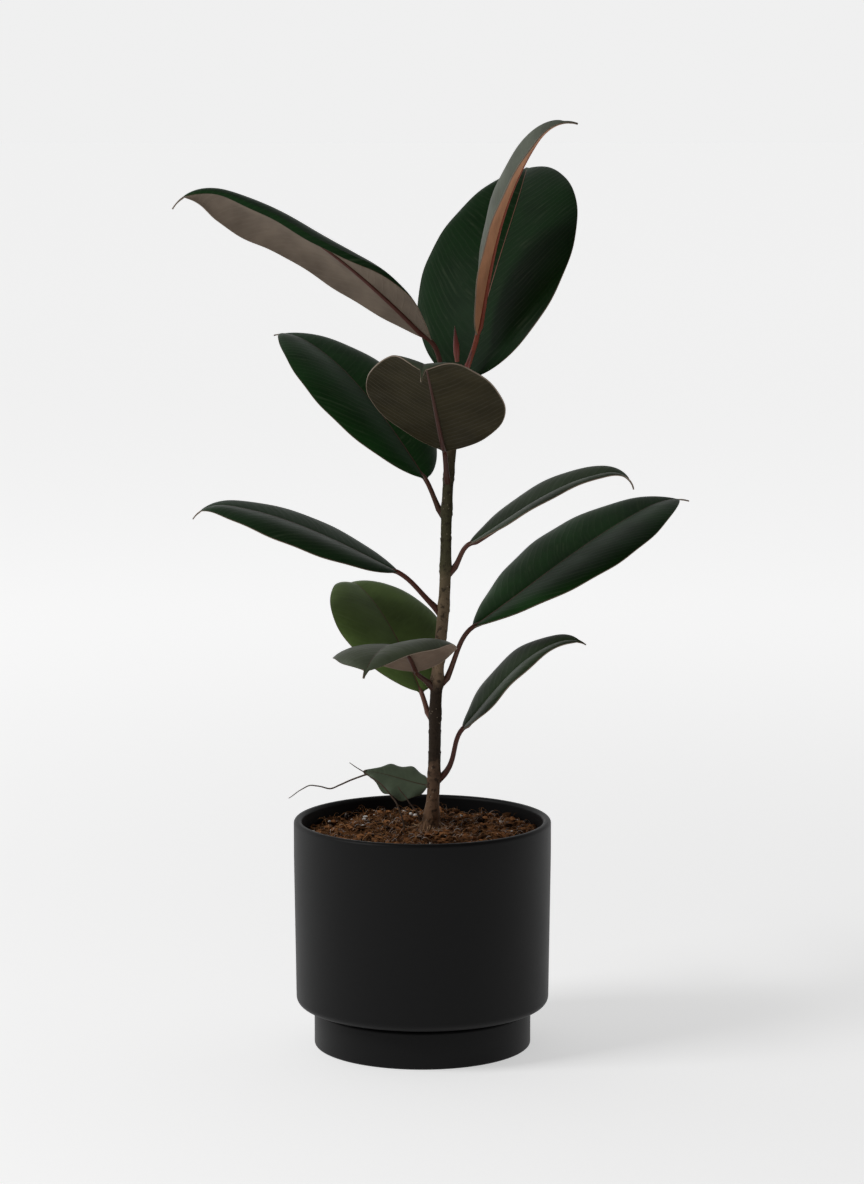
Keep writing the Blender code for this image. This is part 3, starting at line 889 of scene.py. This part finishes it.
def make_rib(name, leaf, look):
    """The petiole and, as its other end, the midrib: one tube that thins towards the tip."""
    a, b, c, d = petiole_points(leaf, look.leave)
    inside = stem_centre(leaf.node * MM - ROOT_DROP) + direction(leaf.petiole[1], 0) * ROOT_DEPTH
    rings = []
    for i in range(-1, PETIOLE_RINGS):
        t = max(0, i) / PETIOLE_RINGS
        centre = a * (1 - t) ** 3 + b * 3 * t * (1 - t) ** 2 + c * 3 * t * t * (1 - t) + d * t**3
        run = (b - a) * (1 - t) ** 2 + (c - b) * 2 * t * (1 - t) + (d - c) * t * t
        if i < 0:
            centre, run = inside, a - inside
        run = run.normalized()
        side = direction(leaf.heading[0] - 90, 0)
        side = (side - run * side.dot(run)).normalized()
        foot = PETIOLE_FOOT * math.exp(-t * 6)
        rings.append((centre, side, side.cross(run), PETIOLE_RADIUS + foot))
    for t, centre, side, up in blade_spine(leaf):
        if t > RIB_END:
            break
        radius = PETIOLE_RADIUS * (1 - t) + RIB_TIP_RADIUS * t
        top = BLADE_THIN / 2 - GROOVE * (1 - 0.7 * t) + RIB_STANDS_OUT * (1 - 0.6 * t)
        sink = (top - radius) * ease(0, 0.04, t)
        rings.append((centre + up * sink, side, up, radius))
    piece = tube_piece(f"{name}_rib", rings, RIB_SIDES, rib_finish)
    paint(piece, "rib", look.rib)
    return piece


for name, leaf in LEAVES.items():
    make_blade(name, leaf, LOOKS[name])
    make_rib(name, leaf, LOOKS[name])

# %% [markdown]
# ## Bark
# The bark's colour follows its age: fibrous light brown at the soil, dark brown, tan with pale
# pores, and green-brown where it is young. A ramp up the stem gives the ages, and noise moves its
# borders.

# %% Bark finish
BARK_STOPS = [
    (0.0, (0.19, 0.105, 0.058)),
    (0.10, (0.15, 0.09, 0.055)),
    (0.135, (0.12, 0.072, 0.045)),
    (0.155, (0.03, 0.02, 0.013)),
    (0.32, (0.034, 0.023, 0.015)),
    (0.37, (0.19, 0.13, 0.082)),
    (0.50, (0.16, 0.115, 0.07)),
    (0.60, (0.055, 0.05, 0.026)),
    (0.75, (0.04, 0.036, 0.018)),
    (0.90, (0.06, 0.034, 0.018)),
    (1.0, (0.13, 0.055, 0.03)),
]


def stem_bark():
    skin = Finish("stem_bark", Specular_IOR_Level=0.12)
    place = skin.object_place()
    _, _, z = skin.split(place)
    age = (z - SOIL_EDGE) / (STEM_TOP - SOIL_EDGE)
    blotch = skin.noise(place, 70.0, 4.0, 0.6)
    age += (blotch - 0.5) * 0.12
    base = skin.ramp(BARK_STOPS, age)
    patch = skin.noise(place, 260.0, 3.0, 0.6)
    base = skin.mix(patch.between(0.52, 0.66) * 0.75, base, (0.018, 0.012, 0.008))
    spots = skin.node("TexVoronoi", {}, {"Vector": place, "Scale": 420.0})
    pale = (1.0 - spots.between(0.12, 0.26)) * skin.noise(place, 150.0).between(0.5, 0.6)
    base = skin.mix(pale * 0.6, base, (0.30, 0.24, 0.17))
    lift = patch * 0.8 + skin.noise(place, 1100.0, 2.0) * 0.4 + pale * 0.5
    rough = 0.62 + blotch * 0.2
    return skin.wear(Base_Color=base, Roughness=rough, Normal=skin.bump(lift, 0.3 * MM))


bark = stem_bark()
print("bark made")

# %% [markdown]
# ## Stem
# The stem is one tube with a ring every millimetre or so, so that leaf scars and the collar's
# ridges are real, which a bump would lose along the outline.

# %% Stem
STEM_RING_STEP = 1.2 * MM
STEM_SIDES = 40
OLD_SCARS = (210, 196, 268, 338, 405, 418)  # heights in mm of scars whose leaf has fallen
SCAR_DROP = 3.2 * MM  # from a leaf's node down to its scar
SCAR_LEAN, SCAR_SPREAD = 0.6 * MM, 0.9 * MM
SCAR_RIDGE, SCAR_DIP, SCAR_DIP_ABOVE = 0.38 * MM, 0.16 * MM, 1.8 * MM
COLLAR_FADE, COLLAR_RIDGE = 6 * MM, 0.8 * MM


def bark_height(z, angle):
    """What the bark adds to the stem's radius: bumps, leaf scars and the fibrous collar."""
    out = Vector((math.cos(angle), math.sin(angle), 0))
    height = 0.16 * MM * noise.noise(out * 1.4 + Vector((0, 0, z * 90)))
    height += 0.12 * MM * noise.noise(out * 3.0 + Vector((5, 0, z * 420)))
    scars = [node * MM - SCAR_DROP for node in LEAF_NODES] + [z0 * MM for z0 in OLD_SCARS]
    for scar in scars:
        over = z - scar - SCAR_LEAN * math.cos(angle - scar * 9000)
        height += SCAR_RIDGE * math.exp(-((over / SCAR_SPREAD) ** 2))
        height -= SCAR_DIP * math.exp(-(((over - SCAR_DIP_ABOVE) / SCAR_SPREAD) ** 2))
    collar = COLLAR_RIDGE * ease(COLLAR_HEIGHT + COLLAR_FADE, 0, z - SOIL_EDGE)
    height += collar * noise.noise(out * 3.0 + Vector((0, 9, z * 60)))
    return height + collar * noise.noise(out * 9.0 + Vector((3, 0, z * 300)))


rings = []
steps = int((STEM_TOP - STEM_FOOT) / STEM_RING_STEP)
for i in range(steps + 1):
    z = STEM_FOOT + (STEM_TOP - STEM_FOOT) * i / steps
    centre = stem_centre(max(z, SOIL_EDGE))
    centre.z = z
    reach = lambda angle, z=z: stem_radius(z) + bark_height(z, angle)
    rings.append((centre, Vector((1, 0, 0)), Vector((0, 1, 0)), reach))
tube_piece("fine_stem", rings, STEM_SIDES, bark, ["stem"], sharp=60)

# %% [markdown]
# ## Young sheaths
# At the growing tip a new leaf waits in a pointed, rolled, red sheath, and a smaller one clasps
# the foot of the youngest leaf. A rolled sheet would hide all but its edge, so each is a pointed
# tube with a spiral ridge for that edge.

# %% Sheaths
# foot height, length and radius in mm, heading, rise
SHEATHS = {
    "bud_sheath": (455, 22, 2.0, 130, 84),
    "leaf_sheath": (445, 18, 1.5, -30, 70),
}
SHEATH_SHAPE = (0.7, 1.0, 0.95, 0.7, 0.4, 0.08)  # shares of the radius, foot to point
SHEATH_RINGS, SHEATH_SIDES = 28, 24
SHEATH_SUNK = 1.5 * MM
SHEATH_STOPS = [(0.0, (0.34, 0.085, 0.06)), (0.45, (0.22, 0.035, 0.028))]
SHEATH_STOPS.append((1.0, (0.07, 0.016, 0.014)))


def sheath_skin():
    skin = Finish("young_sheath", Roughness=0.42)
    share, _, _ = skin.split(skin.map_place("run"))
    base = skin.ramp(SHEATH_STOPS, share)
    streak = skin.noise(skin.object_place(), 500.0, 2.0)
    base = skin.mix(streak * 0.4, base, (0.16, 0.05, 0.03))
    return skin.wear(Base_Color=base, Normal=skin.bump(streak, 0.1 * MM))


def make_sheath(name, foot, length, radius, heading, rise):
    start = stem_centre(foot * MM)
    if foot * MM < STEM_TOP:
        start += direction(heading, 0) * (stem_radius(foot * MM) + radius * MM + GAP)
    run = direction(heading, rise)
    side = direction(heading - 90, 0)
    spans = len(SHEATH_SHAPE) - 1
    rings = []
    for i in range(SHEATH_RINGS + 1):
        t = i / SHEATH_RINGS
        j = min(spans - 1, int(t * spans))
        low, high = SHEATH_SHAPE[j : j + 2]
        share = low + (high - low) * ease(0, 1, t * spans - j)

        def reach(angle, t=t, share=share):
            ridge = math.exp(-((((angle + 5 * t) % math.tau - math.pi) / 0.35) ** 2))
            return radius * MM * share * (1 + 0.14 * ridge)

        centre = start + run * (length * MM * t - (0 if i else SHEATH_SUNK))
        rings.append((centre, side, side.cross(run), reach))
    return tube_piece(
        f"{name}_fine", rings, SHEATH_SIDES, sheath_finish, [name]
    )


sheath_finish = sheath_skin()
for name, sizes in SHEATHS.items():
    make_sheath(name, *sizes)

# %% [markdown]
# ## Rootlets
# Two wiry roots stand out of the soil, and one has a branch. Their solids' points are joined by a
# smooth curve. A bevelled curve could only taper; these tubes also crinkle as dry roots do.

# %% Rootlets
STALK = ((-11, -8, 142), (-13, -8, 152), (-17, -7, 163))
STALK += ((-27, -5, 175), (-38, -4, 183), (-48, -4, 190))
BRANCH = ((-36, -4, 182), (-46, -5, 179), (-60, -6, 173), (-74, -7, 175), (-88, -8, 167))
SHORT_ROOT = ((-1.5, -3.2, 150), (-4, -5, 157), (-9, -6, 164), (-16, -6, 174))
ROOTLETS = {"rootlet_1": (STALK, BRANCH), "rootlet_2": (SHORT_ROOT,)}
ROOT_RADIUS, ROOT_THINNING = 0.6, 0.35  # mm, at the soil and lost on the way to the end
ROOT_CRINKLE = 0.5 * MM
ROOT_STEPS, ROOT_SIDES = 12, 8


def along(points, t):
    """The point at share t of the smooth curve through the points."""
    spans = len(points) - 1
    i = min(int(t * spans), spans - 1)
    t = t * spans - i
    a, b = points[i], points[i + 1]
    before = points[i - 1] if i else a * 2 - b
    after = points[i + 2] if i + 2 <= spans else b * 2 - a
    linear, square = (b - before) * t, (before * 2 - a * 5 + b * 4 - after) * t**2
    return (a * 2 + linear + square + (after - before + (a - b) * 3) * t**3) / 2


def root_bark():
    skin = Finish("rootlet_bark", Roughness=0.8)
    patch = skin.noise(skin.object_place(), 200.0, 3.0)
    return skin.wear(Base_Color=skin.mix(patch, (0.045, 0.028, 0.018), (0.13, 0.085, 0.055)))


def make_rootlet(name, branches):
    bm = bmesh.new()
    for points in branches:
        route = [Vector(point) * MM for point in points]
        steps = ROOT_STEPS * (len(points) - 1)
        rings = []
        for i in range(steps + 1):
            t = i / steps
            centre = along(route, t)
            crinkle = Vector([noise.noise(centre * 170 + Vector((k * 7, 0, 0))) for k in range(3)])
            run = along(route, min(1, t + 0.5 / steps)) - along(route, max(0, t - 0.5 / steps))
            side = run.cross(Vector((0, 1, 0))).normalized()
            radius = (ROOT_RADIUS - ROOT_THINNING * t**2) * MM
            centre += crinkle * ROOT_CRINKLE
            rings.append((centre, side, side.cross(run).normalized(), radius))
        add_tube(bm, rings, ROOT_SIDES)
    return add_piece(f"{name}_fine", bm, [root_finish], [name])


root_finish = root_bark()
for name, branches in ROOTLETS.items():
    make_rootlet(name, branches)

# %% [markdown]
# ## Soil finishes
# The mix is coir: dark crumbs, bark chips and pale fibres with white grains of perlite. The loose
# pieces share a rule, and each has its own colour stored on its points, instead of thousands of
# finishes.


# %% Soil finishes
def earth_finish():
    skin = Finish("potting_soil", Roughness=0.95, Specular_IOR_Level=0.05)
    place = skin.object_place()
    clump = skin.noise(place, 130.0, 5.0, 0.7)
    base = skin.mix(clump.between(0.35, 0.65), (0.010, 0.005, 0.003), (0.18, 0.080, 0.034))
    grain = skin.noise(place, 900.0, 3.0, 0.7)
    base = skin.mix(grain.between(0.55, 0.8) * 0.6, base, (0.30, 0.155, 0.075))
    return skin.wear(Base_Color=base, Normal=skin.bump(clump + grain * 0.5, 1.0 * MM))


def loose_finish(name, grain_scale, dip):
    skin = Finish(name, Roughness=0.9, Specular_IOR_Level=0.06)
    own = skin.stored("own")
    grain = skin.noise(skin.object_place(), grain_scale, 3.0, 0.7)
    base = skin.mix(grain.between(0.35, 0.7) * dip, own, (0.02, 0.012, 0.008))
    return skin.wear(Base_Color=base, Normal=skin.bump(grain, 0.4 * MM))


earth = earth_finish()
crumb_finish = loose_finish("coir_crumb", 700.0, 0.55)
fibre_finish = loose_finish("coir_fibre", 500.0, 0.35)
perlite_finish = loose_finish("perlite", 600.0, 0.12)
print("soil finishes made")

# %% [markdown]
# ## Soil surface
# The soil fills the pot, and its top is a low rough mound, lifted by noise in three sizes. A
# Displace modifier could too, but the crumbs need the height at any place, which a function
# gives.

# %% Soil surface
SOIL_REACH = POT_RADIUS - POT_WALL - GAP
SOIL_RINGS = 64
SOIL_TURN = 160
LOOSE_LAYER = 3 * MM  # of crumbs, above the solid's top
SOIL_RIPPLE = 1.2 * MM
LUMPS = ((4.2 * MM, 50), (3.0 * MM, 150), (1.0 * MM, 420))  # height and scale


def soil_height(x, y):
    """The height of the soil's rough top: a low mound with lumps."""
    far = min(1.0, math.hypot(x, y) / SOIL_REACH)
    height = SOIL_MIDDLE + (SOIL_EDGE - SOIL_MIDDLE) * far + LOOSE_LAYER
    height += SOIL_RIPPLE * math.sin(math.tau * far)
    place = Vector((x, y, 0))
    return height + sum(lump * noise.noise(place * scale) for lump, scale in LUMPS)


def soil_outline():
    floor_top = SAUCER_WALL + GAP + FOOT_RECESS + FLOOR_THICKNESS + GAP
    foot = FOOT_RADIUS - POT_WALL - GAP
    shelf = POT_STEP + POT_WALL + GAP
    low = POT_LOWER_RADIUS - POT_WALL - GAP
    turn = INNER_FLOOR_ROUND
    profile = [(0, floor_top), (foot - turn, floor_top), (foot, floor_top + turn), (foot, shelf)]
    profile += [(low - SHELF_ROUND, shelf), (low, shelf + SHELF_ROUND)]
    profile.append((SOIL_REACH, POT_HEIGHT - POT_STRAIGHT))
    profile += [(SOIL_REACH * (1 - i / SOIL_RINGS), SOIL_EDGE) for i in range(SOIL_RINGS + 1)]
    return profile


bm = spin_outline(soil_outline(), False, SOIL_TURN)
for vert in bm.verts:
    if vert.co.z > SOIL_EDGE - 0.1 * MM:
        vert.co.z = soil_height(vert.co.x, vert.co.y)
add_piece("soil_mix", bm, [earth], ["soil"], sharp=180)

# %% [markdown]
# ## Loose crumbs, fibres and perlite
# Soil looks real when it is thousands of separate things. Each crumb is a coarse ball pushed out
# of shape, and each fibre a thin curling tube. Particles would have to be applied; a seeded loop
# gives the same soil each time. It works in batches, because bmesh slows down as a mesh grows.


# %% Scattering
def spot_on_soil(pick, margin):
    """A random place on the soil, clear of the pot's wall and of the stem."""
    while True:
        reach = (SOIL_REACH - margin) * math.sqrt(pick.random())
        angle = pick.uniform(0, math.tau)
        x, y = reach * math.cos(angle), reach * math.sin(angle)
        if math.hypot(x - STEM_BASE_X, y) > COLLAR_RADIUS - 1 * MM:
            return Vector((x, y, soil_height(x, y)))


def own_colour(bm, verts, colour):
    layer = bm.verts.layers.float_color.get("own") or bm.verts.layers.float_color.new("own")
    for vert in verts:
        vert[layer] = (*colour, 1.0)


def blend(first, second, amount):
    return [a + (b - a) * amount for a, b in zip(first, second)]


BATCH = 50


def scatter(name, skin, count, seed, add_one, sharp):
    """One piece of many small shapes, each made by add_one with the same random source."""
    pick = random.Random(seed)
    whole = bmesh.new()
    for start in range(0, count, BATCH):
        batch = bmesh.new()
        own_colour(batch, [], (0, 0, 0))
        for _ in range(min(BATCH, count - start)):
            add_one(batch, pick)
        mesh = bpy.data.meshes.new("batch")
        batch.to_mesh(mesh)
        batch.free()
        whole.from_mesh(mesh)
        bpy.data.meshes.remove(mesh)
    return add_piece(name, whole, [skin], sharp=sharp)


print("shapes are made in batches of", BATCH)


# %% Crumbs and perlite
def add_crumb(bm, pick, place, size, stretch, detail, colour):
    """A ball pushed out of shape and turned at random."""
    turn = Matrix.Rotation(pick.uniform(0, math.tau), 4, "Z")
    turn @= Matrix.Rotation(pick.uniform(-0.5, 0.5), 4, "X")
    shape = Matrix.Diagonal((size * stretch, size, size * pick.uniform(0.45, 0.8), 1))
    matrix = Matrix.Translation(place) @ turn @ shape
    verts = bmesh.ops.create_icosphere(bm, subdivisions=detail, radius=1, matrix=matrix)["verts"]
    for vert in verts:
        vert.co += (vert.co - place) * (0.5 * noise.noise(vert.co * (0.9 / size)))
    own_colour(bm, verts, colour)


def add_coir(bm, pick):
    size = pick.uniform(0.45, 1.0) ** 2.2 * 2.6 * MM
    place = spot_on_soil(pick, size * 1.6) + Vector((0, 0, size * pick.uniform(0.0, 0.5)))
    colour = blend((0.018, 0.008, 0.004), (0.46, 0.200, 0.078), pick.random() ** 1.5)
    add_crumb(bm, pick, place, size, pick.uniform(1.0, 1.7), 1, colour)


def add_perlite(bm, pick):
    size = pick.uniform(0.8, 1.7) * MM
    place = spot_on_soil(pick, 4 * MM) + Vector((0, 0, size * 1.2 + 1 * MM))
    add_crumb(bm, pick, place, size, 1.1, 2, (0.78, 0.76, 0.72))


scatter("soil_crumbs", crumb_finish, 1900, 11, add_coir, 50)
scatter("perlite_grains", perlite_finish, 22, 12, add_perlite, 50)

# %% Fibres and root hairs
FIBRE_RINGS = 6
FIBRE_REACH = SOIL_REACH - 1.5 * MM
FIBRE_CLEAR = 0.5 * MM  # least height of a fibre's middle line above the soil


def add_fibre(bm, place, heading, turn, lift, length, radius, colour):
    """A thin tube that curls over the soil: it starts at the slope lift, then sinks."""
    rings = []
    for i in range(FIBRE_RINGS):
        share = i / (FIBRE_RINGS - 1)
        angle = heading + turn * share
        run = Vector((math.cos(angle), math.sin(angle), lift * (1 - 1.75 * share)))
        reach = math.hypot(place.x, place.y)
        if reach > FIBRE_REACH:
            place = place * (FIBRE_REACH / reach)
        place.z = max(place.z, soil_height(place.x, place.y) + FIBRE_CLEAR)
        side = Vector((-run.y, run.x, 0)).normalized()
        rings.append((place.copy(), side, side.cross(run).normalized(), radius * (1 - 0.7 * share)))
        place += run.normalized() * length / (FIBRE_RINGS - 1)
    before = len(bm.verts)
    add_tube(bm, rings, 4)
    bm.verts.ensure_lookup_table()
    own_colour(bm, bm.verts[before:], colour)


def add_coir_fibre(bm, pick):
    place = spot_on_soil(pick, 3 * MM)
    heading, turn = pick.uniform(0, math.tau), pick.uniform(-1.6, 1.6)
    lift = pick.uniform(0, 0.6) if pick.random() < 0.5 else pick.uniform(0.8, 3.0)
    length, radius = pick.uniform(3, 12) * MM, pick.uniform(0.10, 0.26) * MM
    colour = blend((0.05, 0.020, 0.008), (0.68, 0.34, 0.14), pick.random() ** 1.3)
    add_fibre(bm, place, heading, turn, lift, length, radius, colour)


def add_root_hair(bm, pick):
    """A pale hair that leaves the stem's foot and runs out over the soil."""
    heading = pick.uniform(0, math.tau)
    out = Vector((math.cos(heading), math.sin(heading), 0))
    rise = LOOSE_LAYER + pick.uniform(2, 10) * MM
    start = stem_centre(SOIL_EDGE + rise) + out * (stem_radius(SOIL_EDGE + rise) - 0.3 * MM)
    length, radius = pick.uniform(6, 15) * MM, pick.uniform(0.16, 0.4) * MM
    colour = blend((0.22, 0.11, 0.055), (0.62, 0.42, 0.26), pick.random())
    turn, lift = pick.uniform(-0.9, 0.9), pick.uniform(-2.6, -0.6)
    add_fibre(bm, start, heading, turn, lift, length, radius, colour)


scatter("soil_fibres", fibre_finish, 1700, 13, add_coir_fibre, 180)
scatter("root_hairs", fibre_finish, 70, 14, add_root_hair, 180)

# %% Finish
sizes = {"cad": [list(corner) for corner in cad_box], "visual": [list(corner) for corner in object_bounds()]}
